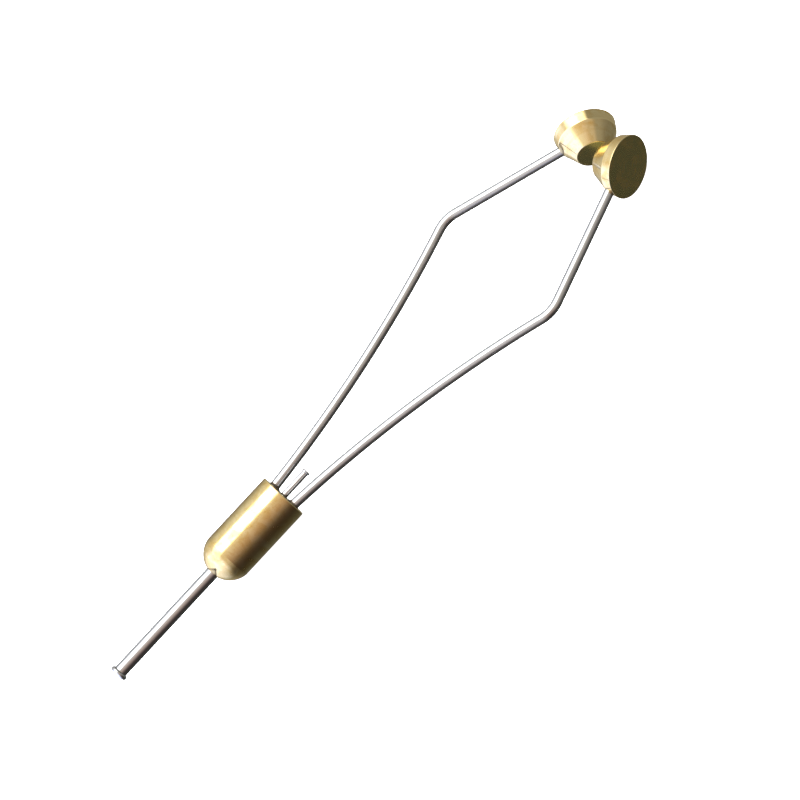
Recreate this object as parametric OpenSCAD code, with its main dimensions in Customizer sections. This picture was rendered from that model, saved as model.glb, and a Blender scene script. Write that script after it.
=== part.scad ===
// Bobbin holder for thread work: a brass barrel carries a thin thread tube in front and
// two sprung wire arms behind, and each arm ends in a brass button that seats in a spool.
// Millimetres. +X runs from the thread tube's tip to the buttons, +Y to the left arm,
// +Z up from the plane of the arms. The origin is the middle of the barrel's straight part.

/* [Barrel] */
// Diameter of the barrel
barrel_d = 8; // [7.5:0.1:9]
// Length of the barrel's straight part
barrel_len = 12.6; // [10:0.1:16]
// Length of the domed nose, up to its theoretical tip
nose_len = 3.5; // [3:0.1:3.7]
// Width of the chamfer round the rear face
barrel_chamfer = 0.2; // [0.1:0.05:0.4]

/* [Thread tube] */
// Outer diameter of the thread tube
tube_od = 2.1; // [1.9:0.05:2.2]
// Inner diameter of the thread tube
tube_id = 1.45; // [1.45:0.05:1.6]
// Reach of the tube's tip in front of the barrel's straight part
tube_reach = 24.5; // [18:0.5:35]
// Outer diameter of the rolled lip at the tip
lip_d = 2.8; // [2.5:0.05:2.9]
// Thickness of the rolled lip
lip_len = 0.8; // [0.6:0.05:1]

/* [Rear guide tube] */
// Outer diameter of the guide tube
guide_od = 1.1; // [1:0.05:1.1]
// Inner diameter of the guide tube
guide_id = 0.7; // [0.5:0.05:0.8]
// Length of the guide tube that stands out of the barrel's rear face
guide_reach = 5.1; // [3:0.1:7]
// Diameter of the guide tube's flared end
flare_d = 1.4; // [1.35:0.05:1.6]
// Thickness of the guide tube's flared end
flare_len = 0.4; // [0.3:0.05:0.6]

/* [Arms] */
// Diameter of the spring wire
wire_d = 1.6; // [1.3:0.1:1.6]
// Depth of the sockets that hold the wires
socket_depth = 6; // [4:0.5:6]
// Distance of each wire from the centre line at the rear face
arm_offset = 2.6; // [2.4:0.05:2.7]
// Angle at which each wire leaves the rear face
arm_lean = 6; // [3:0.5:7]
// Angle of the wire where it reaches the elbow
bow_lean = 21; // [18:0.5:22]
// Distance along X from the rear face to the elbow's corner
bow_run = 47.7; // [47.5:0.1:55]
// Bend radius of the elbow, at the wire's centre
elbow_r = 5; // [3:0.5:8]
// Angle at which the wire runs in to its button
tip_lean = 22; // [21:0.5:23]
// Distance along X from the elbow's corner to the button's axis
tip_run = 23.7; // [23:0.1:23.8]
// Distance along X from the rear face to the point where the arm flexes
flex_run = 11; // [9:0.5:13]
// Width of the slit that parts the fixed and the moving wire at that point
flex_slit = 0.3; // [0.3:0.05:0.5]

/* [Buttons] */
// Diameter of the button's outer face
button_d = 9.9; // [9.4:0.1:10.2]
// Diameter of the button where its cone starts
cone_d = 9.3; // [8.6:0.1:9.4]
// Diameter of the button's nose
button_nose_d = 5.4; // [4.5:0.1:5.4]
// Height of the button from its outer face to its nose
button_h = 4.8; // [4.4:0.1:4.8]
// Height of the rim between the outer face and the cone
rim_h = 1.7; // [1.5:0.1:2]
// Depth of the wire's axis under the outer face
wire_depth = 1.2; // [1.1:0.05:1.3]
// Length of wire past the button's axis
wire_past = 1.5; // [0.5:0.1:2.5]
// Width of the small chamfers on the button's edges
edge_break = 0.12; // [0.05:0.01:0.2]

/* [Hidden] */
$fn = 96;

LEFT = 0;
RIGHT = 1;
STEEL = "lightgray";
BRASS = "goldenrod";

rear_x = barrel_len / 2;
tip_x = -rear_x - tube_reach;
tube_seat_x = 0;        // where the thread tube stops against the step in the barrel's bore
dome_step = 0.02;       // the dome starts this far inside the barrel's edge
dome_base_r = barrel_d / 2 - dome_step;
dome_r = (pow(dome_base_r, 2) + pow(nose_len, 2)) / (2 * nose_len);
lip_tube_r = lip_len / 2;
flare_tube_r = flare_len / 2;
past = 1;               // how far a cutter runs past the face that it opens
collar_len = 0.2;       // length of the thin collar that joins an elbow and its run-in
collar_proud = 0.01;    // how far that collar stands proud of the wire

// The bow is one arc: heading a is reached at bow_at(a).
bow_r = bow_run / (sin(bow_lean) - sin(arm_lean));
function bow_at(a) = [
    rear_x + bow_r * (sin(a) - sin(arm_lean)),
    arm_offset + bow_r * (cos(arm_lean) - cos(a))
];
function heading(a) = [cos(a), sin(a)];
corner = bow_at(bow_lean);
button_at = corner + tip_run * [1, -tan(tip_lean)];

// The elbow's arc starts where the bow's own arc is left, a little short of the corner.
elbow_setback = elbow_r * tan((bow_lean + tip_lean) / 2);
bow_end = asin(sin(bow_lean) - elbow_setback * cos(bow_lean) / bow_r);
elbow_start = bow_at(bow_end);
elbow_turn = bow_end + tip_lean;
elbow_centre = elbow_start + elbow_r * [sin(bow_end), -cos(bow_end)];
elbow_stop = elbow_centre + elbow_r * [sin(tip_lean), cos(tip_lean)];
tip_len = (button_at - elbow_stop) * heading(-tip_lean) + wire_past;

// The flex point is on the bow, and half the slit lies on either side of it.
flex_lean = asin(sin(arm_lean) + flex_run / bow_r);
flex_at = bow_at(flex_lean);
half_slit_turn = flex_slit / 2 / bow_r * 180 / PI;

// Where the left arm flexes and where its button sits
echo(flex_at = flex_at, button_at = button_at);

// A cylinder along +X
module rod_x(d, length) rotate([0, 90, 0]) cylinder(d = d, h = length);

// A round bead about the X axis
module bead_x(outer_d, minor_r) rotate([0, 90, 0])
    rotate_extrude() translate([outer_d / 2 - minor_r, 0]) circle(r = minor_r);

// Wire from the origin that heads along +X and bends to the left
module bend_left(r, turn) translate([0, r, 0]) rotate([0, 0, -90])
    rotate_extrude(angle = turn) translate([r, 0]) circle(d = wire_d);

module bend_right(r, turn) mirror([0, 1, 0]) bend_left(r, turn);

// Places what heads along +X from the origin at a point and a heading
module placed(at, lean) translate(at) rotate([0, 0, lean]) children();

// Turns what runs forwards from the origin into what arrives there
module arriving() mirror([1, 0, 0]) children();

// What is drawn on the left is mirrored for the right
module on_side(side) mirror([0, side, 0]) children();

module barrel() color(BRASS) difference() {
    union() {
        translate([-rear_x, 0, 0]) rod_x(barrel_d, barrel_len - barrel_chamfer);
        translate([rear_x - barrel_chamfer, 0, 0]) rotate([0, 90, 0])
            cylinder(d1 = barrel_d, d2 = barrel_d - 2 * barrel_chamfer, h = barrel_chamfer);
        intersection() {
            translate([dome_r - rear_x - nose_len, 0, 0]) sphere(r = dome_r);
            translate([-rear_x - barrel_d, 0, 0]) rod_x(2 * barrel_d, barrel_d);
        }
    }
    translate([tube_seat_x - barrel_len, 0, 0]) rod_x(tube_od, barrel_len);
    rod_x(guide_od, rear_x + past);
    for (side = [LEFT, RIGHT]) on_side(side) placed([rear_x, arm_offset], arm_lean)
        translate([-socket_depth, 0, 0]) rod_x(wire_d, socket_depth + past);
}

module thread_tube() color(STEEL) difference() {
    union() {
        translate([tip_x + lip_tube_r, 0, 0]) rod_x(tube_od, tube_seat_x - tip_x - lip_tube_r);
        translate([tip_x + lip_tube_r, 0, 0]) bead_x(lip_d, lip_tube_r);
    }
    translate([tip_x - past, 0, 0]) rod_x(tube_id, tube_seat_x - tip_x + 2 * past);
}

module rear_guide_tube() color(STEEL) difference() {
    end_x = rear_x + guide_reach;
    union() {
        translate([tube_seat_x, 0, 0]) rod_x(guide_od, end_x - flare_tube_r - tube_seat_x);
        translate([end_x - flare_tube_r, 0, 0]) bead_x(flare_d, flare_tube_r);
    }
    translate([tube_seat_x - past, 0, 0]) rod_x(guide_id, end_x - tube_seat_x + 2 * past);
}

// The clamped end of a spring wire: its tail in the socket and the first part of the bow
module arm_root(side) color(STEEL) on_side(side) placed([rear_x, arm_offset], arm_lean) {
    arriving() rod_x(wire_d, socket_depth);
    bend_left(bow_r, flex_lean - half_slit_turn - arm_lean);
}

// The part of a spring wire that swings out: the rest of the bow, the elbow and the run-in
module arm(side) color(STEEL) on_side(side) placed(elbow_start, bow_end) {
    arriving() bend_left(bow_r, bow_end - flex_lean - half_slit_turn);
    bend_right(elbow_r, elbow_turn);
    translate([0, -elbow_r, 0]) rotate([0, 0, -elbow_turn]) translate([0, elbow_r, 0]) {
        translate([-collar_len / 2, 0, 0]) rod_x(wire_d + 2 * collar_proud, collar_len);
        translate([collar_proud, 0, 0]) rod_x(wire_d, tip_len - collar_proud);
    }
}

// A turned button: outer face, rim, cone and nose, with a blind cross hole for the wire
module button(side) color(BRASS) on_side(side)
    translate(button_at) rotate([0, 0, -tip_lean]) difference() {
        translate([0, wire_depth, 0]) rotate([90, 0, 0]) rotate_extrude() polygon([
            [0, 0],
            [button_d / 2 - edge_break, 0],
            [button_d / 2, edge_break],
            [cone_d / 2, rim_h],
            [button_nose_d / 2, button_h - edge_break],
            [button_nose_d / 2 - edge_break, button_h],
            [0, button_h]
        ]);
        translate([-button_d, 0, 0]) rod_x(wire_d, button_d + wire_past);
    }

barrel();
thread_tube();
rear_guide_tube();
arm_root(LEFT);  // left_arm_root
arm_root(RIGHT);  // right_arm_root
arm(LEFT);  // left_arm
arm(RIGHT);  // right_arm
button(LEFT);  // left_button
button(RIGHT);  // right_button
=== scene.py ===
"""A fly-tying bobbin holder: a turned brass barrel with a lipped thread tube in front, and two
sprung steel wires behind it that end in brass spool buttons.

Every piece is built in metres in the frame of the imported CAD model: +X runs from the thread
tube's lip to the buttons, +Y to the left wire and +Z up. Turned pieces are made on a bench axis
along +X and keep their bench place in a mesh attribute, which the finishes read.
"""

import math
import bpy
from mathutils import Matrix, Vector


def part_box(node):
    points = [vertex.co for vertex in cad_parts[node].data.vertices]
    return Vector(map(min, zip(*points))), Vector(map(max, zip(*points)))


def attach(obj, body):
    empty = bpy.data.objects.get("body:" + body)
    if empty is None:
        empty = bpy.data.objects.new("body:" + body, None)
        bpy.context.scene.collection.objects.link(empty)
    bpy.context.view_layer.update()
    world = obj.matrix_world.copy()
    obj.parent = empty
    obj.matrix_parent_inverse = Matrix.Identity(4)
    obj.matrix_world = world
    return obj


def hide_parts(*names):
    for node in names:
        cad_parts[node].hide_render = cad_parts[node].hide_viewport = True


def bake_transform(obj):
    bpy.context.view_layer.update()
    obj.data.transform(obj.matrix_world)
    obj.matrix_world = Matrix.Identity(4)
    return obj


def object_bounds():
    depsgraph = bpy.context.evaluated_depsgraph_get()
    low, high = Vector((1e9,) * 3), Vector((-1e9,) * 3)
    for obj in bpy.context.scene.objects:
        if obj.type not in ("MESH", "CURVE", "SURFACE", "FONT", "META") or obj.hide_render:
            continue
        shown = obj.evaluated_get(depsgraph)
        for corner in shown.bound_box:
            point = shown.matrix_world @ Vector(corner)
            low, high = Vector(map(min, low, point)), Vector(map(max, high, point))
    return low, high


bl_info = {
    "name": "Bobbin Holder",
    "version": (1, 0, 0),
    "blender": (4, 5, 0),
    "location": "View3D > Sidebar > Bobbin Holder",
    "description": "Builds a brass and spring-wire bobbin holder, piece by piece, on its CAD frame",
    "category": "Add Mesh",
}

import bmesh
import bpy
from bpy.props import FloatProperty, FloatVectorProperty, IntProperty, PointerProperty
from bpy.types import Operator, Panel, PropertyGroup
from mathutils import Matrix, Vector

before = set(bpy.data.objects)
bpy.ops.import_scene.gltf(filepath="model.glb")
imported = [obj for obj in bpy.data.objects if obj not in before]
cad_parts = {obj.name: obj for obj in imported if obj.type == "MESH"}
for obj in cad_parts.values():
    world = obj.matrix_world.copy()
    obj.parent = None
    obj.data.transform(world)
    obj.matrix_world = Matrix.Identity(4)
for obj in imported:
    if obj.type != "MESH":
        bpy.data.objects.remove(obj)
CAD_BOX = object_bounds()

MM = 0.001
BENCH = "bench"      # point attribute: where a point was on the lathe or along the straight wire
WORN = "worn"        # point attribute: 1 on the broken edges, 0 elsewhere
SIDES = {"left": 1, "right": -1}
WELD = 1e-7                     # points closer than this are one point
SHARP_EDGE = math.radians(20)   # edges sharper than this are rounded
HARD_EDGE = math.radians(45)    # edges sharper than this keep a crease in their shading
ALONG = Vector((1, 0, 0))       # the bench axis
ACROSS = 0.999                  # a face whose normal is this close to the bench axis lies across it
BARREL_MARGIN, BUTTON_MARGIN = 1.2, 1.5     # how far inside a corner a point holds it, in edge breaks
GUIDE_BEAD = 0.6                # size of the guide tube's bead of solder against a wire's

# Steps of the curves
DOME_STEPS = 28
ROLLED_STEPS = 16
SOLDER_STEPS = 8
SOLDER_SIDES = 48
WIRE_SIDES = 48
SOCKET_STEPS, BOW_STEPS, ELBOW_STEPS, RUN_IN_STEPS = 3, 72, 20, 12

# Metres that a piece is moved along the bench, so that no two pieces share a pattern
BENCH_SHIFT = {
    "turned_barrel": 0.0,
    "lipped_thread_tube": 0.1,
    "flared_guide_tube": 0.2,
    "left_spool_button": 0.3,
    "right_spool_button": 0.4,
    "right_spring_wire": 0.5,
    "painted_shade_bead": 0.6,
}


# ---------------------------------------------------------------------------- settings

class BarrelSettings(PropertyGroup):
    """Sizes of the barrel that its CAD box doesn't give"""

    straight: FloatProperty(
        name="Straight Length", description="Length of the straight part, centred on the origin",
        default=12.6 * MM, min=8 * MM, max=20 * MM, precision=5, subtype="DISTANCE", unit="LENGTH",
    )
    nose: FloatProperty(
        name="Nose Length", description="Length of the dome, up to its theoretical tip",
        default=3.5 * MM, min=2 * MM, max=3.7 * MM, precision=5, subtype="DISTANCE", unit="LENGTH",
    )
    edge: FloatProperty(
        name="Edge Break", description="Size of the rounding on the barrel's edges",
        default=0.14 * MM, min=0.02 * MM, max=0.2 * MM, precision=6, subtype="DISTANCE", unit="LENGTH",
    )
    bead: FloatProperty(
        name="Bead Size", description="Reach of the bead of solder round each wire at the rear face",
        default=0.38 * MM, min=0.1 * MM, max=0.4 * MM, precision=6, subtype="DISTANCE", unit="LENGTH",
    )


class TubeSettings(PropertyGroup):
    """Diameters of the thread tube and the rear guide tube"""

    thread_outer: FloatProperty(
        name="Thread Tube Diameter", description="Outer diameter of the thread tube",
        default=2.1 * MM, min=1.9 * MM, max=2.2 * MM, precision=5, subtype="DISTANCE", unit="LENGTH",
    )
    thread_bore: FloatProperty(
        name="Thread Tube Bore", description="Inner diameter of the thread tube",
        default=1.45 * MM, min=1 * MM, max=1.6 * MM, precision=5, subtype="DISTANCE", unit="LENGTH",
    )
    lip: FloatProperty(
        name="Lip Thickness", description="Thickness of the rolled lip along the tube",
        default=0.8 * MM, min=0.5 * MM, max=1 * MM, precision=5, subtype="DISTANCE", unit="LENGTH",
    )
    guide_outer: FloatProperty(
        name="Guide Tube Diameter", description="Outer diameter of the rear guide tube",
        default=1.1 * MM, min=1 * MM, max=1.3 * MM, precision=5, subtype="DISTANCE", unit="LENGTH",
    )
    guide_bore: FloatProperty(
        name="Guide Tube Bore", description="Inner diameter of the rear guide tube",
        default=0.7 * MM, min=0.5 * MM, max=0.8 * MM, precision=5, subtype="DISTANCE", unit="LENGTH",
    )
    flare: FloatProperty(
        name="Flare Thickness", description="Thickness of the guide tube's flared end",
        default=0.4 * MM, min=0.3 * MM, max=0.6 * MM, precision=5, subtype="DISTANCE", unit="LENGTH",
    )


class WireSettings(PropertyGroup):
    """Route of a spring wire, from its socket to its button"""

    diameter: FloatProperty(
        name="Wire Diameter", description="Diameter of the spring wire",
        default=1.6 * MM, min=1.3 * MM, max=1.6 * MM, precision=5, subtype="DISTANCE", unit="LENGTH",
    )
    socket: FloatProperty(
        name="Socket Depth", description="Length of wire inside the barrel",
        default=6 * MM, min=4 * MM, max=6 * MM, precision=5, subtype="DISTANCE", unit="LENGTH",
    )
    offset: FloatProperty(
        name="Offset", description="Distance of the wire from the centre line at the rear face",
        default=2.6 * MM, min=2.4 * MM, max=2.7 * MM, precision=5, subtype="DISTANCE", unit="LENGTH",
    )
    lean: FloatProperty(
        name="Exit Angle", description="Angle at which the wire leaves the rear face",
        default=math.radians(6), min=0, max=math.radians(8), subtype="ANGLE", unit="ROTATION",
    )
    bow_lean: FloatProperty(
        name="Bow Angle", description="Angle of the bow where it would reach the elbow's corner",
        default=math.radians(21), min=math.radians(15), max=math.radians(25),
        subtype="ANGLE", unit="ROTATION",
    )
    bow_run: FloatProperty(
        name="Bow Run", description="Distance along X from the rear face to the elbow's corner",
        default=47.7 * MM, min=40 * MM, max=55 * MM, precision=5, subtype="DISTANCE", unit="LENGTH",
    )
    elbow: FloatProperty(
        name="Elbow Radius", description="Bend radius of the elbow, at the wire's centre",
        default=5 * MM, min=3 * MM, max=8 * MM, precision=5, subtype="DISTANCE", unit="LENGTH",
    )
    run_in_lean: FloatProperty(
        name="Run-in Angle", description="Angle at which the wire runs in to its button",
        default=math.radians(22), min=math.radians(20), max=math.radians(24),
        subtype="ANGLE", unit="ROTATION",
    )
    run_in: FloatProperty(
        name="Run-in", description="Distance along X from the elbow's corner to the button's axis",
        default=23.7 * MM, min=20 * MM, max=26 * MM, precision=5, subtype="DISTANCE", unit="LENGTH",
    )
    past: FloatProperty(
        name="Wire Past Axis", description="Length of wire past the button's axis",
        default=1.5 * MM, min=0.5 * MM, max=2.5 * MM, precision=5, subtype="DISTANCE", unit="LENGTH",
    )
    flex: FloatProperty(
        name="Flex Length", description="Length of wire over which the flexing is spread",
        default=21 * MM, min=8 * MM, max=21 * MM, precision=5, subtype="DISTANCE", unit="LENGTH",
    )


class ButtonSettings(PropertyGroup):
    """Profile of a spool button"""

    face: FloatProperty(
        name="Face Diameter", description="Diameter of the button's outer face",
        default=9.9 * MM, min=9.4 * MM, max=10.2 * MM, precision=5, subtype="DISTANCE", unit="LENGTH",
    )
    cone: FloatProperty(
        name="Cone Diameter", description="Diameter of the button where its cone starts",
        default=9.3 * MM, min=8.6 * MM, max=9.4 * MM, precision=5, subtype="DISTANCE", unit="LENGTH",
    )
    nose: FloatProperty(
        name="Nose Diameter", description="Diameter of the button's nose",
        default=5.4 * MM, min=4.5 * MM, max=5.4 * MM, precision=5, subtype="DISTANCE", unit="LENGTH",
    )
    height: FloatProperty(
        name="Height", description="Height of the button from its outer face to its nose",
        default=4.8 * MM, min=4.4 * MM, max=4.8 * MM, precision=5, subtype="DISTANCE", unit="LENGTH",
    )
    rim: FloatProperty(
        name="Rim Height", description="Height of the rim between the outer face and the cone",
        default=1.7 * MM, min=1.5 * MM, max=2 * MM, precision=5, subtype="DISTANCE", unit="LENGTH",
    )
    wire_depth: FloatProperty(
        name="Wire Depth", description="Depth of the wire's axis under the outer face",
        default=1.2 * MM, min=1.1 * MM, max=1.3 * MM, precision=5, subtype="DISTANCE", unit="LENGTH",
    )
    edge: FloatProperty(
        name="Edge Break", description="Size of the rounding on the button's edges",
        default=0.1 * MM, min=0.02 * MM, max=0.2 * MM, precision=6, subtype="DISTANCE", unit="LENGTH",
    )


class FinishSettings(PropertyGroup):
    """Colours of the metals"""

    brass: FloatVectorProperty(
        name="Brass", description="Colour of freshly turned brass",
        default=(0.82, 0.65, 0.33), size=3, min=0, max=1, subtype="COLOR",
    )
    stain: FloatVectorProperty(
        name="Stained Brass", description="Colour of brass that has darkened with handling",
        default=(0.68, 0.45, 0.14), size=3, min=0, max=1, subtype="COLOR",
    )
    faced: FloatVectorProperty(
        name="Faced Brass", description="Greenish colour of stained brass on the parted-off faces",
        default=(0.48, 0.44, 0.19), size=3, min=0, max=1, subtype="COLOR",
    )
    steel: FloatVectorProperty(
        name="Steel", description="Colour of the drawn steel tubes and wires",
        default=(0.65, 0.645, 0.64), size=3, min=0, max=1, subtype="COLOR",
    )
    # Near-black colour of the solder beads, far darker than solder is: painted shade at the foot of
    # each wire and of the guide tube
    solder_shade: FloatVectorProperty(
        name="Solder", description="Colour of the beads of solder at the rear face",
        default=(0.16, 0.13, 0.10), size=3, min=0, max=1, subtype="COLOR",
    )


class StageSettings(PropertyGroup):
    """Floor, light and camera"""

    floor: FloatVectorProperty(
        name="Floor", description="Colour of the floor",
        default=(0.93, 0.93, 0.93), size=3, min=0, max=1, subtype="COLOR",
    )
    sky: FloatProperty(
        name="Sky Strength", description="Brightness of the brightest stretch of the sky",
        default=4.6, min=0, max=20,
    )
    azimuth: FloatProperty(
        name="Azimuth", description="Angle of the camera round the object; 0 looks along +Y",
        default=math.radians(-0.36), subtype="ANGLE", unit="ROTATION",
    )
    elevation: FloatProperty(
        name="Elevation", description="Angle of the camera above the horizon",
        default=math.radians(50.4), subtype="ANGLE", unit="ROTATION",
    )
    roll: FloatProperty(
        name="Roll", description="Angle at which +X climbs to the right in the picture",
        default=math.radians(46.82), subtype="ANGLE", unit="ROTATION",
    )
    distance: FloatProperty(
        name="Distance", description="Distance from the camera to the point that it looks at",
        default=700 * MM, precision=5, subtype="DISTANCE", unit="LENGTH",
    )
    lens: FloatProperty(
        name="Focal Length", description="Focal length of the camera, in millimetres",
        default=207.7, min=20, max=400,
    )
    segments: IntProperty(
        name="Segments", description="Segments round each turned piece",
        default=128, min=32, max=256,
    )


SETTINGS = {
    "bobbin_barrel": BarrelSettings,
    "bobbin_tubes": TubeSettings,
    "bobbin_wires": WireSettings,
    "bobbin_buttons": ButtonSettings,
    "bobbin_finish": FinishSettings,
    "bobbin_stage": StageSettings,
}


# ---------------------------------------------------------------------------- finishes

def add_node(tree, kind, inputs=None, **settings):
    """A new node, with its settings and its inputs set or linked"""
    node = tree.nodes.new(kind)
    for name, value in settings.items():
        setattr(node, name, value)
    for key, value in (inputs or {}).items():
        if isinstance(value, bpy.types.NodeSocket):
            tree.links.new(value, node.inputs[key])
        else:
            node.inputs[key].default_value = value
    return node


def calculate(tree, operation, first, second=0.0, clamp=False):
    """The output of a Math node"""
    node = add_node(tree, "ShaderNodeMath", {0: first, 1: second}, operation=operation, use_clamp=clamp)
    return node.outputs[0]


def remap(tree, value, low, high, out_low=0.0, out_high=1.0):
    """value, mapped from low..high to out_low..out_high and held inside"""
    inputs = {"Value": value, "From Min": low, "From Max": high, "To Min": out_low, "To Max": out_high}
    return add_node(tree, "ShaderNodeMapRange", inputs).outputs["Result"]


def mix_colours(tree, share, first, second):
    """first where share is 0 and second where it is 1"""
    node = add_node(tree, "ShaderNodeMix", {0: share, 6: first, 7: second}, data_type="RGBA")
    return node.outputs[2]


def opaque(colour, scale=1.0):
    """A colour with an alpha of 1"""
    return (*(scale * channel for channel in colour), 1.0)


def new_group(name, inputs, outputs):
    """An empty shader node group, with its input node and its output node"""
    group = bpy.data.node_groups.new(name, "ShaderNodeTree")
    for socket, kind, value in inputs:
        made = group.interface.new_socket(socket, in_out="INPUT", socket_type=kind)
        if value is not None:
            made.default_value = value
    for socket in outputs:
        group.interface.new_socket(socket, in_out="OUTPUT", socket_type="NodeSocketFloat")
    return group, group.nodes.new("NodeGroupInput"), group.nodes.new("NodeGroupOutput")


def lathe_marks_group():
    """Fine rings round the bench axis, on cylinders, cones and faces alike"""
    group, given, result = new_group(
        "lathe_marks",
        [("Bench", "NodeSocketVector", None), ("Marks", "NodeSocketFloat", 9000.0)],
        ["Height", "Bands"],
    )
    parts = add_node(group, "ShaderNodeSeparateXYZ", {0: given.outputs["Bench"]})
    across = add_node(group, "ShaderNodeCombineXYZ", {1: parts.outputs[1], 2: parts.outputs[2]})
    radius = add_node(group, "ShaderNodeVectorMath", {0: across.outputs[0]}, operation="LENGTH")
    profile = add_node(group, "ShaderNodeCombineXYZ", {0: parts.outputs[0], 1: radius.outputs["Value"]})
    for socket, share, detail in (("Height", 1.0, 3.0), ("Bands", 0.12, 2.0)):
        scale = calculate(group, "MULTIPLY", given.outputs["Marks"], share)
        noise = add_node(
            group, "ShaderNodeTexNoise",
            {"Vector": profile.outputs[0], "Scale": scale, "Detail": detail},
            noise_dimensions="2D",
        )
        group.links.new(noise.outputs[0], result.inputs[socket])
    return group


LINES_STRETCH = (0.012, 1.0, 1.0)   # squeezes the bench place, so that the lines run along the piece


def drawn_lines_group():
    """Fine lines along the bench axis, as a drawing die leaves them"""
    group, given, result = new_group(
        "drawn_lines",
        [("Bench", "NodeSocketVector", None), ("Lines", "NodeSocketFloat", 7000.0)],
        ["Height", "Bands"],
    )
    squeezed = add_node(
        group, "ShaderNodeVectorMath",
        {0: given.outputs["Bench"], 1: LINES_STRETCH}, operation="MULTIPLY",
    )
    for socket, share, detail in (("Height", 1.0, 3.0), ("Bands", 0.2, 2.0)):
        scale = calculate(group, "MULTIPLY", given.outputs["Lines"], share)
        noise = add_node(
            group, "ShaderNodeTexNoise",
            {"Vector": squeezed.outputs[0], "Scale": scale, "Detail": detail},
        )
        group.links.new(noise.outputs[0], result.inputs[socket])
    return group


# Noise values at which a mark starts to show and where it is full
CLOUDS, SPECKLES, NICKS = (0.42, 0.68), (0.60, 0.72), (0.64, 0.74)
SPECKLES_FINER, NICKS_FINER = 6.0, 12.0     # how much finer those noises are than the clouds
NICKS_STRETCH = (0.18, 1.0, 1.4)            # the nicks run along the piece too, if less far


def handling_group():
    """Cloudy stains, small spots and short scuffs left by handling"""
    group, given, result = new_group(
        "handling",
        [("Bench", "NodeSocketVector", None), ("Size", "NodeSocketFloat", 0.002)],
        ["Stain", "Spots", "Scuffs"],
    )
    scale = calculate(group, "DIVIDE", 1.0, given.outputs["Size"])
    cloud = add_node(
        group, "ShaderNodeTexNoise",
        {"Vector": given.outputs["Bench"], "Scale": scale, "Detail": 4.0, "Distortion": 0.6},
    )
    group.links.new(remap(group, cloud.outputs[0], *CLOUDS), result.inputs["Stain"])
    fine = calculate(group, "MULTIPLY", scale, SPECKLES_FINER)
    speckle = add_node(
        group, "ShaderNodeTexNoise",
        {"Vector": given.outputs["Bench"], "Scale": fine, "Detail": 2.0},
    )
    group.links.new(remap(group, speckle.outputs[0], *SPECKLES), result.inputs["Spots"])
    stretched = add_node(
        group, "ShaderNodeVectorMath",
        {0: given.outputs["Bench"], 1: NICKS_STRETCH}, operation="MULTIPLY",
    )
    finest = calculate(group, "MULTIPLY", scale, NICKS_FINER)
    nicks = add_node(
        group, "ShaderNodeTexNoise",
        {"Vector": stretched.outputs[0], "Scale": finest, "Detail": 1.0},
    )
    group.links.new(remap(group, nicks.outputs[0], *NICKS), result.inputs["Scuffs"])
    return group


def attribute(tree, name):
    """A node that reads a mesh attribute"""
    return add_node(tree, "ShaderNodeAttribute", attribute_name=name)


def new_material(name):
    """An empty node material and its output node"""
    material = bpy.data.materials.new(name)
    material.use_nodes = True
    material.node_tree.nodes.clear()
    return material, material.node_tree, material.node_tree.nodes.new("ShaderNodeOutputMaterial")


def shared_group(name, build):
    """The shader node group of that name, built the first time it is asked for"""
    return bpy.data.node_groups.get(name) or build()


# What a metal's surface has: its roughness where clean and where stained, the height of its tool
# marks in metres, and the share and the size of its stains
TURNED = {"rough": (0.085, 0.19), "relief": 0.12e-6, "stain_share": 0.75, "blotch": 1.6 * MM}
FACED = {"rough": (0.22, 0.40), "relief": 1.0e-6, "stain_share": 0.5, "blotch": 1.6 * MM}
DRAWN = {"rough": (0.12, 0.22), "relief": 0.12e-6, "stain_share": 0.4, "blotch": 4 * MM}
SOLDERED = {"rough": (0.38, 0.55), "relief": 6e-6, "stain_share": 0.8, "blotch": 0.4 * MM}
BRASS_TINT = (0.85, 0.85, 0.80)     # what brass reflects at a grazing angle
STEEL_TINT = (0.05, 0.05, 0.05)     # what the oily steel reflects at a grazing angle
STEEL_STAIN = 0.72          # brightness of stained steel against clean steel
SOLDER_STAIN = 1.8          # brightness of the paler clouds on the solder
EDGE_CLEAN = 0.8            # how far a worn edge is free of stains
EDGE_BARE = 0.5             # how far a worn edge shows the bare metal
BARE_METAL = 1.12           # brightness of the bare metal
SPOTS_SHARE = 0.5           # weight of the small spots beside the cloudy stains
BANDS_DARKEN, BANDS_COARSEN = (0.35, 0.75), (0.3, 0.7)     # noise values over which they do so
BANDS_SHARE = 0.35          # how far the tool's broader bands look stained
BANDS_ROUGHNESS = (-0.02, 0.03)     # what those bands add to the roughness
SCUFFS_ROUGHNESS = 0.12     # what a scuff adds to the roughness
SCUFFS_HEIGHT = -1.0        # height of a scuff against the tool marks
STAIN_HEIGHT = -0.5         # height of a stain against the tool marks


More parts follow.
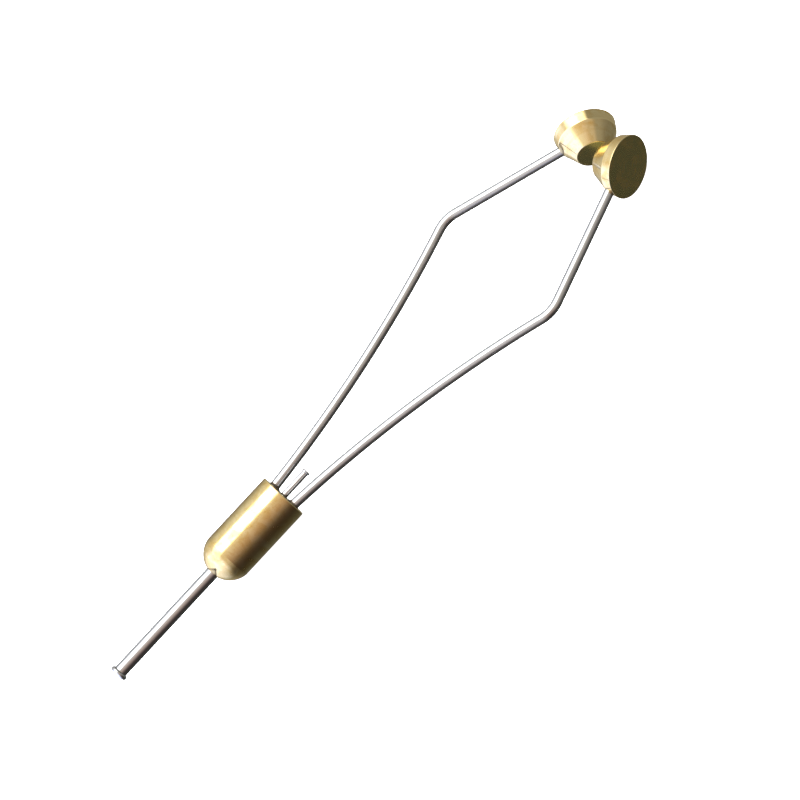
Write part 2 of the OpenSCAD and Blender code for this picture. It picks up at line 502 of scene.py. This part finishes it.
def metal(name, colour, stained, tint, marks, rough, relief, stain_share, blotch):
    """A metal with tool marks, stains, scuffs and brighter, smoother worn edges

    tint is the colour at a grazing angle and marks the node group of the tool marks. The rest is
    what the tables above hold.
    """
    found = bpy.data.materials.get(name)
    if found:
        return found
    material, tree, output = new_material(name)
    bench = attribute(tree, BENCH).outputs["Vector"]
    worn = attribute(tree, WORN).outputs["Fac"]
    lines = add_node(tree, "ShaderNodeGroup", {"Bench": bench}, node_tree=marks)
    handling = shared_group("handling", handling_group)
    wear = add_node(tree, "ShaderNodeGroup", {"Bench": bench, "Size": blotch}, node_tree=handling)
    bands, scuffs = lines.outputs["Bands"], wear.outputs["Scuffs"]

    clean = calculate(tree, "SUBTRACT", 1.0, calculate(tree, "MULTIPLY", worn, EDGE_CLEAN))
    clouds = calculate(tree, "MULTIPLY", wear.outputs["Stain"], stain_share)
    spots = calculate(tree, "MULTIPLY", wear.outputs["Spots"], SPOTS_SHARE * stain_share)
    stain = calculate(tree, "MULTIPLY", calculate(tree, "ADD", clouds, spots), clean, clamp=True)
    shade = mix_colours(tree, stain, opaque(colour), opaque(stained))
    banded = remap(tree, bands, *BANDS_DARKEN, 0.0, BANDS_SHARE)
    shade = mix_colours(tree, banded, shade, opaque(stained))
    bare = calculate(tree, "MULTIPLY", worn, EDGE_BARE)
    shade = mix_colours(tree, bare, shade, opaque(colour, BARE_METAL))

    roughness = remap(tree, stain, 0.0, 1.0, *rough)
    coarser = remap(tree, bands, *BANDS_COARSEN, *BANDS_ROUGHNESS)
    roughness = calculate(tree, "ADD", roughness, coarser)
    scuffed = calculate(tree, "MULTIPLY", scuffs, SCUFFS_ROUGHNESS)
    roughness = calculate(tree, "ADD", roughness, scuffed)

    sunk = calculate(tree, "MULTIPLY", scuffs, SCUFFS_HEIGHT)
    height = calculate(tree, "ADD", lines.outputs["Height"], sunk)
    height = calculate(tree, "ADD", height, calculate(tree, "MULTIPLY", stain, STAIN_HEIGHT))
    bump = add_node(tree, "ShaderNodeBump", {"Height": height, "Distance": relief, "Strength": 1.0})
    surface = add_node(
        tree, "ShaderNodeBsdfPrincipled",
        {
            "Base Color": shade, "Roughness": roughness, "Metallic": 1.0, "Normal": bump.outputs[0],
            "Specular Tint": opaque(tint),
        },
    )
    tree.links.new(surface.outputs[0], output.inputs["Surface"])
    return material


def turned_brass(finish):
    """Brass as the tool leaves it on the sides of a turned piece"""
    marks = shared_group("lathe_marks", lathe_marks_group)
    return metal("turned_brass", finish.brass, finish.stain, BRASS_TINT, marks, **TURNED)


def faced_brass(finish):
    """Brass on a parted-off face, rougher and darker"""
    marks = shared_group("lathe_marks", lathe_marks_group)
    return metal("faced_brass", finish.faced, finish.stain, BRASS_TINT, marks, **FACED)


def drawn_steel(finish):
    """Bright drawn steel, for the tubes and the spring wires"""
    marks = shared_group("drawn_lines", drawn_lines_group)
    stained = [STEEL_STAIN * channel for channel in finish.steel]
    return metal("drawn_steel", finish.steel, stained, STEEL_TINT, marks, **DRAWN)


def painted_shade_solder(finish):
    """Dull solder at the foot of the wires, coloured near black as painted shade round each foot"""
    marks = shared_group("drawn_lines", drawn_lines_group)
    paler = [SOLDER_STAIN * channel for channel in finish.solder_shade]
    return metal("painted_shade_solder", finish.solder_shade, paler, STEEL_TINT, marks, **SOLDERED)


# ---------------------------------------------------------------------------- shaping

def only(items, kind):
    """The items of one bmesh kind"""
    return [item for item in items if isinstance(item, kind)]


def start_outline(x, radius):
    """A new bmesh with the first point of an outline, which is drawn in XY with Y as the radius"""
    bm = bmesh.new()
    return bm, bm.verts.new((x, radius, 0))


def line_to(bm, tip, x, radius, margin=0.0):
    """Draws a straight line from tip, with a point one margin inside each of its ends"""
    start, stop = tip.co.copy(), Vector((x, radius, 0))
    step = (stop - start).normalized() * margin
    for place in ([start + step, stop - step] if margin else []) + [stop]:
        tip = bmesh.ops.extrude_vert_indiv(bm, verts=[tip])["verts"][0]
        tip.co = place
    return tip


def arc_to(bm, tip, x, radius, angle, steps):
    """Draws an arc from tip about the point (x, radius)"""
    made = bmesh.ops.spin(
        bm, geom=[tip], cent=(x, radius, 0), axis=(0, 0, 1), dvec=(0, 0, 0), angle=angle, steps=steps,
    )
    return only(made["geom_last"], bmesh.types.BMVert)[0]


def turn_outline(bm, segments, edge, edge_steps=3):
    """Spins the outline round X, closes it, and rounds its sharp edges by edge"""
    bmesh.ops.remove_doubles(bm, verts=bm.verts, dist=WELD)
    bmesh.ops.spin(
        bm, geom=bm.verts[:] + bm.edges[:], cent=(0, 0, 0), axis=(1, 0, 0), dvec=(0, 0, 0),
        angle=math.tau, steps=segments, use_merge=True,
    )
    bmesh.ops.remove_doubles(bm, verts=bm.verts, dist=WELD)
    bmesh.ops.recalc_face_normals(bm, faces=bm.faces)
    worn = bm.verts.layers.float.new(WORN)
    if edge:
        corners = [e for e in bm.edges if e.is_manifold and e.calc_face_angle() > SHARP_EDGE]
        made = bmesh.ops.bevel(
            bm, geom=corners, offset=edge, offset_type="OFFSET", affect="EDGES",
            segments=edge_steps, profile=0.5, material=-1, clamp_overlap=True,
        )
        for vert in made["verts"]:
            vert[worn] = 1.0


def keep_bench_place(bm, name):
    """Writes each point's place on the bench, moved along for that piece, to the bench attribute"""
    bench = bm.verts.layers.float_vector.new(BENCH)
    for vert in bm.verts:
        vert[bench] = vert.co + BENCH_SHIFT[name] * ALONG


def new_piece(bm, name, materials):
    """Makes an object of a bmesh, shaded smooth"""
    for face in bm.faces:
        face.smooth = True
    for edge in bm.edges:
        if edge.calc_face_angle(0) > HARD_EDGE:
            edge.smooth = False
    mesh = bpy.data.meshes.new(name)
    bm.to_mesh(mesh)
    bm.free()
    for material in materials:
        mesh.materials.append(material)
    piece = bpy.data.objects.new(name, mesh)
    bpy.context.scene.collection.objects.link(piece)
    return piece


def mark_faces(bm):
    """Gives the flat faces across the bench axis the second material"""
    for face in bm.faces:
        face.material_index = 1 if abs(face.normal.dot(ALONG)) > ACROSS else 0


def on_side(vector, side):
    """The vector on the left, where side is 1, and its mirror image on the right"""
    return vector * Vector((1, side, 1))


# ---------------------------------------------------------------------------- pieces

def barrel_bmesh(barrel, tubes, segments):
    """The barrel, with a domed nose and a stepped bore, on its own axis"""
    low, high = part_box("barrel")
    rear, outer = high.x, high.y
    front = rear - barrel.straight
    dome = (outer ** 2 + barrel.nose ** 2) / (2 * barrel.nose)
    dome_x = front - barrel.nose + dome
    mouth, guide = tubes.thread_outer / 2, tubes.guide_outer / 2
    step_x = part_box("thread_tube")[1].x
    seam_angle = math.atan2(outer, dome_x - front)
    mouth_angle = math.asin(mouth / dome)
    margin = BARREL_MARGIN * barrel.edge
    bm, tip = start_outline(dome_x - dome * math.cos(mouth_angle), mouth)
    tip = arc_to(bm, tip, dome_x, 0, mouth_angle - seam_angle, DOME_STEPS)
    tip = line_to(bm, tip, rear, outer, margin)
    tip = line_to(bm, tip, rear, guide, margin)
    tip = line_to(bm, tip, step_x, guide)
    tip = line_to(bm, tip, step_x, mouth)
    line_to(bm, tip, dome_x - dome * math.cos(mouth_angle), mouth)
    turn_outline(bm, segments, barrel.edge)
    for edge in bm.edges:
        on_seam = all(abs(vert.co.x - front) < 5 * WELD for vert in edge.verts)
        edge.smooth = not (on_seam and edge.verts[0].co.yz.length > 0.9 * outer)
    return bm


def tube_bmesh(low_x, high_x, outer, bore, bead_radius, bead_reach, segments):
    """A tube along X whose +X end is rolled outwards into a round bead"""
    bead_x, centre = high_x - bead_radius, bead_reach - bead_radius
    lift = math.asin((outer - centre) / bead_radius)
    drop = math.asin((centre - bore) / bead_radius)
    bm, tip = start_outline(low_x, bore)
    tip = line_to(bm, tip, low_x, outer)
    tip = line_to(bm, tip, bead_x - bead_radius * math.cos(lift), outer)
    tip = arc_to(bm, tip, bead_x, centre, lift - drop - math.pi, ROLLED_STEPS)
    line_to(bm, tip, low_x, bore)
    turn_outline(bm, segments, 0)
    return bm


class BOBBIN_OT_barrel(Operator):
    """Turn the brass barrel"""

    bl_idname = "bobbin.barrel"
    bl_label = "Barrel"

    def execute(self, context):
        scene = context.scene
        bm = barrel_bmesh(scene.bobbin_barrel, scene.bobbin_tubes, scene.bobbin_stage.segments)
        name = "turned_barrel"
        keep_bench_place(bm, name)
        mark_faces(bm)
        finish = scene.bobbin_finish
        piece = new_piece(bm, name, [turned_brass(finish), faced_brass(finish)])
        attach(piece, "holder")
        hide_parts("barrel")
        return {"FINISHED"}


class BOBBIN_OT_tubes(Operator):
    """Draw the thread tube with its rolled lip, and the rear guide tube with its flared end"""

    bl_idname = "bobbin.tubes"
    bl_label = "Tubes"

    def execute(self, context):
        scene = context.scene
        sizes, finish = scene.bobbin_tubes, scene.bobbin_finish
        segments = scene.bobbin_stage.segments // 2
        thread = sizes.thread_outer, sizes.thread_bore, sizes.lip
        guide = sizes.guide_outer, sizes.guide_bore, sizes.flare
        rows = (
            ("lipped_thread_tube", "thread_tube", thread, True),
            ("flared_guide_tube", "rear_guide_tube", guide, False),
        )
        for name, node, (outer, bore, bead), forwards in rows:
            low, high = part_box(node)
            ends = (-high.x, -low.x) if forwards else (low.x, high.x)
            bm = tube_bmesh(*ends, outer / 2, bore / 2, bead / 2, high.y, segments)
            keep_bench_place(bm, name)
            if forwards:
                half_turn = Matrix.Rotation(math.pi, 3, "Z")
                bmesh.ops.rotate(bm, verts=bm.verts, cent=(0, 0, 0), matrix=half_turn)
            piece = new_piece(bm, name, [drawn_steel(finish)])
            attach(piece, "holder")
            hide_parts(node)
        return {"FINISHED"}


class WireRoute:
    """Points and headings of the left wire, worked out from its settings"""

    def __init__(self, sizes, rear):
        self.exit = Vector((rear, sizes.offset, 0))
        self.bow = sizes.bow_run / (math.sin(sizes.bow_lean) - math.sin(sizes.lean))
        setback = sizes.elbow * math.tan((sizes.bow_lean + sizes.run_in_lean) / 2)
        sine = math.sin(sizes.bow_lean) - setback * math.cos(sizes.bow_lean) / self.bow
        self.bow_end = math.asin(sine)
        self.bow_centre = self.exit + self.bow * left_of(sizes.lean)
        self.elbow_centre = self.bow_at(self.bow_end) - sizes.elbow * left_of(self.bow_end)
        corner = self.bow_at(sizes.bow_lean)
        self.axis = corner + sizes.run_in * Vector((1, -math.tan(sizes.run_in_lean), 0))
        elbow_stop = self.elbow_centre + sizes.elbow * left_of(-sizes.run_in_lean)
        self.run_in = (self.axis - elbow_stop).length + sizes.past

    def bow_at(self, lean):
        """The point of the bow where the wire heads along lean"""
        return self.bow_centre - self.bow * left_of(lean)


def heading(lean):
    """The direction at an angle lean from +X towards +Y"""
    return Vector((math.cos(lean), math.sin(lean), 0))


def left_of(lean):
    """The direction a quarter turn to the left of heading(lean)"""
    return Vector((-math.sin(lean), math.cos(lean), 0))


class WireBender:
    """Grows a round wire ring by ring, and keeps each point's place along the straight wire"""

    def __init__(self, start, lean, radius, sides):
        self.bm = bmesh.new()
        self.bench = self.bm.verts.layers.float_vector.new(BENCH)
        self.worn = self.bm.verts.layers.float.new(WORN)
        self.length = 0.0
        upright = Matrix.Rotation(math.pi / 2, 4, "Y")
        ring = bmesh.ops.create_circle(
            self.bm, cap_ends=True, segments=sides, radius=radius, matrix=upright
        )["verts"]
        for vert in ring:
            vert[self.bench] = vert.co
        placing = Matrix.Translation(start) @ Matrix.Rotation(lean, 4, "Z")
        bmesh.ops.transform(self.bm, verts=ring, matrix=placing)
        self.front = ring + list(self.bm.edges)

    def advance(self, made, length):
        """Takes the newest ring as the front, that much further along the wire"""
        self.length += length
        self.front = made
        for vert in only(made, bmesh.types.BMVert):
            vert[self.bench] = (self.length, *vert[self.bench].yz)

    def straight(self, lean, length, steps):
        """Feeds a straight length"""
        for _ in range(steps):
            edges = only(self.front, bmesh.types.BMEdge)
            made = bmesh.ops.extrude_edge_only(self.bm, edges=edges)["geom"]
            verts = only(made, bmesh.types.BMVert)
            ring = [edge for edge in only(made, bmesh.types.BMEdge) if set(edge.verts) <= set(verts)]
            bmesh.ops.translate(self.bm, verts=verts, vec=heading(lean) * (length / steps))
            self.advance(verts + ring, length / steps)

    def bend(self, centre, radius, turn, steps):
        """Feeds an arc about centre, to the left where turn is above 0"""
        for _ in range(steps):
            made = bmesh.ops.spin(
                self.bm, geom=self.front, cent=centre, axis=(0, 0, 1), dvec=(0, 0, 0),
                angle=turn / steps, steps=1,
            )["geom_last"]
            self.advance(made, radius * abs(turn) / steps)

    def finish(self):
        """Closes the end and returns the mesh"""
        bmesh.ops.edgeloop_fill(self.bm, edges=only(self.front, bmesh.types.BMEdge))
        bmesh.ops.recalc_face_normals(self.bm, faces=self.bm.faces)
        return self.bm


class BOBBIN_OT_wires(Operator):
    """Bend the two spring wires"""

    bl_idname = "bobbin.wires"
    bl_label = "Spring Wires"

    def execute(self, context):
        scene = context.scene
        sizes = scene.bobbin_wires
        route = WireRoute(sizes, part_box("barrel")[1].x)
        for name, side in SIDES.items():
            start = route.exit - sizes.socket * heading(sizes.lean)
            elbow_turn = -route.bow_end - sizes.run_in_lean
            bender = WireBender(start, sizes.lean, sizes.diameter / 2, WIRE_SIDES)
            bender.straight(sizes.lean, sizes.socket, SOCKET_STEPS)
            bender.bend(route.bow_centre, route.bow, route.bow_end - sizes.lean, BOW_STEPS)
            bender.bend(route.elbow_centre, sizes.elbow, elbow_turn, ELBOW_STEPS)
            bender.straight(-sizes.run_in_lean, route.run_in, RUN_IN_STEPS)
            bm = bender.finish()
            if side < 0:
                bmesh.ops.scale(bm, verts=bm.verts, vec=(1, -1, 1))
                bmesh.ops.recalc_face_normals(bm, faces=bm.faces)
                bench = bm.verts.layers.float_vector[BENCH]
                for vert in bm.verts:
                    vert[bench] += BENCH_SHIFT["right_spring_wire"] * ALONG
            steel = drawn_steel(scene.bobbin_finish)
            piece = new_piece(bm, f"{name}_spring_wire", [steel])
            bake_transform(piece)
            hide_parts(f"{name}_arm_root", f"{name}_arm")
        return {"FINISHED"}


def button_bmesh(sizes, segments):
    """A spool button along the bench axis, its outer face at x = 0 and its nose on +X"""
    margin = BUTTON_MARGIN * sizes.edge
    bm, tip = start_outline(0, 0)
    tip = line_to(bm, tip, 0, sizes.face / 2, margin)
    tip = line_to(bm, tip, sizes.rim, sizes.cone / 2, margin)
    tip = line_to(bm, tip, sizes.height, sizes.nose / 2, margin)
    line_to(bm, tip, sizes.height, 0, margin)
    turn_outline(bm, segments, sizes.edge)
    return bm


class BOBBIN_OT_buttons(Operator):
    """Turn the two spool buttons and place them on the wires' ends"""

    bl_idname = "bobbin.buttons"
    bl_label = "Spool Buttons"

    def execute(self, context):
        scene = context.scene
        sizes, wires, finish = scene.bobbin_buttons, scene.bobbin_wires, scene.bobbin_finish
        route = WireRoute(wires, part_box("barrel")[1].x)
        for name, side in SIDES.items():
            bm = button_bmesh(sizes, scene.bobbin_stage.segments)
            keep_bench_place(bm, f"{name}_spool_button")
            mark_faces(bm)
            outward = on_side(left_of(-wires.run_in_lean), side)
            along = on_side(heading(-wires.run_in_lean), side)
            face = on_side(route.axis, side) + outward * sizes.wire_depth
            turning = Matrix((-outward, along, (-outward).cross(along))).transposed().to_4x4()
            bmesh.ops.transform(bm, verts=bm.verts, matrix=Matrix.Translation(face) @ turning)
            metals = [turned_brass(finish), faced_brass(finish)]
            piece = new_piece(bm, f"{name}_spool_button", metals)
            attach(piece, f"{name}_spring")
            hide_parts(f"{name}_button")
        return {"FINISHED"}


class BOBBIN_OT_beads(Operator):
    """Run a small bead of solder round the foot of each wire and of the guide tube, coloured near black
    as painted shade there
    """

    bl_idname = "bobbin.beads"
    bl_label = "Solder Beads"

    def execute(self, context):
        scene = context.scene
        barrel, wires, tubes = scene.bobbin_barrel, scene.bobbin_wires, scene.bobbin_tubes
        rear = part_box("barrel")[1].x
        feet = [("guide", 0, 0, tubes.guide_outer / 2, GUIDE_BEAD * barrel.bead)]
        feet += [
            (name, side * wires.offset, side * wires.lean, wires.diameter / 2, barrel.bead)
            for name, side in SIDES.items()
        ]
        for name, offset, lean, radius, reach in feet:
            bm, tip = start_outline(reach, radius)
            tip = arc_to(bm, tip, reach, radius + reach, -math.pi / 2, SOLDER_STEPS)
            tip = line_to(bm, tip, -reach, radius + reach)
            tip = line_to(bm, tip, -reach, radius)
            line_to(bm, tip, reach, radius)
            turn_outline(bm, SOLDER_SIDES, 0)
            keep_bench_place(bm, "painted_shade_bead")
            placing = Matrix.Translation((rear, offset, 0)) @ Matrix.Rotation(lean, 4, "Z")
            bmesh.ops.transform(bm, verts=bm.verts, matrix=placing)
            # The beads' near-black colour is painted shade at the foot of each wire and of the guide
            # tube
            solder_shade = painted_shade_solder(scene.bobbin_finish)
            piece = new_piece(bm, f"{name}_painted_shade_bead", [solder_shade])
            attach(piece, "holder")
        return {"FINISHED"}


# ---------------------------------------------------------------------------- stage

SKY_PEAK = 4.6      # the brightest value below; a sky of this strength is as the tables say
# Brightness of the sky round the X axis: angle in degrees from +Y over +Z, and the colour there
SKY = (
    (-180, (0.130, 0.105, 0.095)),
    (-170, (0.084, 0.063, 0.059)),
    (-157, (0.055, 0.044, 0.040)),
    (-142, (0.050, 0.044, 0.040)),
    (-120, (0.075, 0.075, 0.065)),
    (-85, (0.14, 0.15, 0.14)),
    (-50, (0.34, 0.34, 0.33)),
    (-12, (0.38, 0.38, 0.38)),
    (13, (0.68, 0.70, 0.71)),
    (25, (0.86, 0.89, 0.92)),
    (41, (1.06, 1.10, 1.18)),
    (50, (1.25, 1.30, 1.40)),
    (54, (SKY_PEAK, SKY_PEAK, SKY_PEAK)),
    (98, (SKY_PEAK, SKY_PEAK, SKY_PEAK)),
    (105, (1.10, 1.05, 1.00)),
    (118, (0.89, 0.80, 0.75)),
    (130, (0.76, 0.64, 0.57)),
    (141, (0.63, 0.50, 0.44)),
    (153, (0.48, 0.37, 0.32)),
    (165, (0.30, 0.235, 0.215)),
)
# Along X: where a glow starts and where it is full, the share it takes there, and its colour
GLOWS = (
    (-0.12, -0.40, 0.60, (1.05, 1.05, 1.06)),
    (-0.52, -0.75, 1.00, (1.70, 1.90, 2.80)),
    (0.08, 0.30, 0.55, (0.62, 0.60, 0.54)),
    (0.52, 0.68, 1.00, (0.36, 0.37, 0.36)),
)
UNDERSIDE = (-1.2, -0.1)    # the glows fade between these sums of Y and Z, towards the table in front
UNDERSIDE_SHARE = 0.08      # what is left of them there
FLOOR_SIZE = 3.0            # metres from the middle of the floor to its edges
FLOOR_GLOW = 0.9            # the light that the floor gives back, which softens the shadows
LAMP_SIZE, LAMP_POWER = 1.2, 14.0       # metres and watts
LAMP_PLACE, LAMP_AIM = Vector((0.03, 0.15, 1.0)), Vector((0.03, 0, 0))
SENSOR = 36.0                           # width in millimetres
CLIPPING = (0.01, 20.0)
AIM = Vector((29.2 * MM, 0, 0))         # the point of the object that the camera is aimed from
AIM_RIGHT, AIM_UP = 2.03 * MM, -2.26 * MM   # how far to the side of it the picture's middle is


def sky_world(strength):
    """A world that is a soft studio sky, and plain white to the camera"""
    world = bpy.data.worlds.new("studio_sky")
    world.use_nodes = True
    tree = world.node_tree
    tree.nodes.clear()
    way = add_node(tree, "ShaderNodeTexCoord").outputs["Generated"]
    parts = add_node(tree, "ShaderNodeSeparateXYZ", {0: way})
    round_x = calculate(tree, "ARCTAN2", parts.outputs[2], parts.outputs[1])
    turn = calculate(tree, "ADD", calculate(tree, "DIVIDE", round_x, math.tau), 0.5)
    ramp = add_node(tree, "ShaderNodeValToRGB", {0: turn})
    stops = ramp.color_ramp.elements
    for index, (angle, colour) in enumerate(SKY + ((180, SKY[0][1]),)):
        place = (angle + 180) / 360
        stop = stops[index] if index < 2 else stops.new(place)
        stop.position = place
        stop.color = opaque(colour, 1 / SKY_PEAK)

    shade = ramp.outputs[0]
    above = calculate(tree, "ADD", parts.outputs[1], parts.outputs[2])
    above = remap(tree, above, *UNDERSIDE, UNDERSIDE_SHARE, 1.0)
    for start, full, share, colour in GLOWS:
        glow = remap(tree, parts.outputs[0], start, full, 0.0, share)
        glow = calculate(tree, "MULTIPLY", above, glow)
        shade = mix_colours(tree, glow, shade, opaque(colour, 1 / SKY_PEAK))
    sky = add_node(tree, "ShaderNodeBackground", {"Color": shade, "Strength": strength})
    plain = add_node(tree, "ShaderNodeBackground", {"Color": (1, 1, 1, 1), "Strength": 1.0})
    seen = add_node(tree, "ShaderNodeLightPath").outputs["Is Camera Ray"]
    both = add_node(tree, "ShaderNodeMixShader", {0: seen, 1: sky.outputs[0], 2: plain.outputs[0]})
    output = add_node(tree, "ShaderNodeOutputWorld")
    tree.links.new(both.outputs[0], output.inputs["Surface"])
    return world


def pale_floor(colour):
    """A pale matt floor with the faintest unevenness"""
    material, tree, output = new_material("pale_floor")
    place = add_node(tree, "ShaderNodeTexCoord").outputs["Object"]
    noise = add_node(tree, "ShaderNodeTexNoise", {"Vector": place, "Scale": 12.0, "Detail": 3.0})
    shade = mix_colours(
        tree, remap(tree, noise.outputs[0], 0.3, 0.7), opaque(colour), opaque(colour, 1.01)
    )
    surface = add_node(
        tree, "ShaderNodeBsdfPrincipled",
        {
            "Base Color": shade, "Roughness": 0.9, "Specular IOR Level": 0.0,
            "Emission Color": (1, 1, 1, 1), "Emission Strength": FLOOR_GLOW,
        },
    )
    tree.links.new(surface.outputs[0], output.inputs["Surface"])
    return material


def picture_axes(azimuth, elevation, roll):
    """The directions right and up in the picture, and from the object to the camera"""
    level = Vector((math.cos(azimuth), math.sin(azimuth), 0))
    flat = math.cos(elevation)
    away = Vector((math.sin(azimuth) * flat, -math.cos(azimuth) * flat, math.sin(elevation)))
    upright = away.cross(level)
    right = math.cos(roll) * level - math.sin(roll) * upright
    up = math.sin(roll) * level + math.cos(roll) * upright
    return right, up, away


class BOBBIN_OT_stage(Operator):
    """Lay the floor, light the object and set up the camera"""

    bl_idname = "bobbin.stage"
    bl_label = "Stage"

    def execute(self, context):
        scene = context.scene
        stage = scene.bobbin_stage
        scene.view_settings.view_transform = "Standard"
        scene.world = sky_world(stage.sky)

        bm = bmesh.new()
        under = Matrix.Translation((0, 0, CAD_BOX[0].z))
        bmesh.ops.create_grid(bm, x_segments=1, y_segments=1, size=FLOOR_SIZE, matrix=under)
        mesh = bpy.data.meshes.new("floor")
        bm.to_mesh(mesh)
        bm.free()
        mesh.materials.append(pale_floor(stage.floor))
        floor = bpy.data.objects.new("floor", mesh)
        floor.visible_glossy = False
        scene.collection.objects.link(floor)

        lamp = bpy.data.lights.new("overhead_softbox", "AREA")
        lamp.shape, lamp.size, lamp.energy = "DISK", LAMP_SIZE, LAMP_POWER
        softbox = bpy.data.objects.new("overhead_softbox", lamp)
        softbox.location = LAMP_PLACE
        softbox.rotation_euler = (LAMP_AIM - LAMP_PLACE).to_track_quat("-Z", "Y").to_euler()
        softbox.visible_glossy = False
        scene.collection.objects.link(softbox)

        data = bpy.data.cameras.new("camera")
        data.lens, data.sensor_width = stage.lens, SENSOR
        data.clip_start, data.clip_end = CLIPPING
        camera = bpy.data.objects.new("camera", data)
        right, up, away = picture_axes(stage.azimuth, stage.elevation, stage.roll)
        middle = AIM + AIM_RIGHT * right + AIM_UP * up
        turning = Matrix((right, up, away)).transposed().to_4x4()
        camera.matrix_world = Matrix.Translation(middle + away * stage.distance) @ turning
        scene.collection.objects.link(camera)
        scene.camera = camera
        return {"FINISHED"}


# ---------------------------------------------------------------------------- panel and main

class BOBBIN_PT_panel(Panel):
    """Lists the pieces and their sizes in the sidebar"""

    bl_idname = "BOBBIN_PT_panel"
    bl_label = "Bobbin Holder"
    bl_space_type = "VIEW_3D"
    bl_region_type = "UI"
    bl_category = "Bobbin Holder"

    def draw(self, context):
        for operator in OPERATORS:
            self.layout.operator(operator.bl_idname)
        for name in SETTINGS:
            group = getattr(context.scene, name)
            box = self.layout.box()
            box.label(text=name.replace("bobbin_", "").title())
            for setting in group.bl_rna.properties:
                if not setting.is_readonly and setting.identifier != "name":
                    box.prop(group, setting.identifier)


OPERATORS = (
    BOBBIN_OT_barrel, BOBBIN_OT_tubes, BOBBIN_OT_wires, BOBBIN_OT_buttons, BOBBIN_OT_beads,
    BOBBIN_OT_stage,
)


def register():
    for group in SETTINGS.values():
        bpy.utils.register_class(group)
    for shown in OPERATORS + (BOBBIN_PT_panel,):
        bpy.utils.register_class(shown)
    for name, group in SETTINGS.items():
        setattr(bpy.types.Scene, name, PointerProperty(type=group))


def unregister():
    for name in SETTINGS:
        delattr(bpy.types.Scene, name)
    for shown in reversed(OPERATORS + (BOBBIN_PT_panel,)):
        bpy.utils.unregister_class(shown)
    for group in reversed(SETTINGS.values()):
        bpy.utils.unregister_class(group)


def main():
    """Builds everything in order"""
    register()
    bpy.ops.bobbin.barrel()
    bpy.ops.bobbin.tubes()
    bpy.ops.bobbin.wires()
    bpy.ops.bobbin.buttons()
    bpy.ops.bobbin.beads()
    bpy.ops.bobbin.stage()


if __name__ == "__main__":
    main()
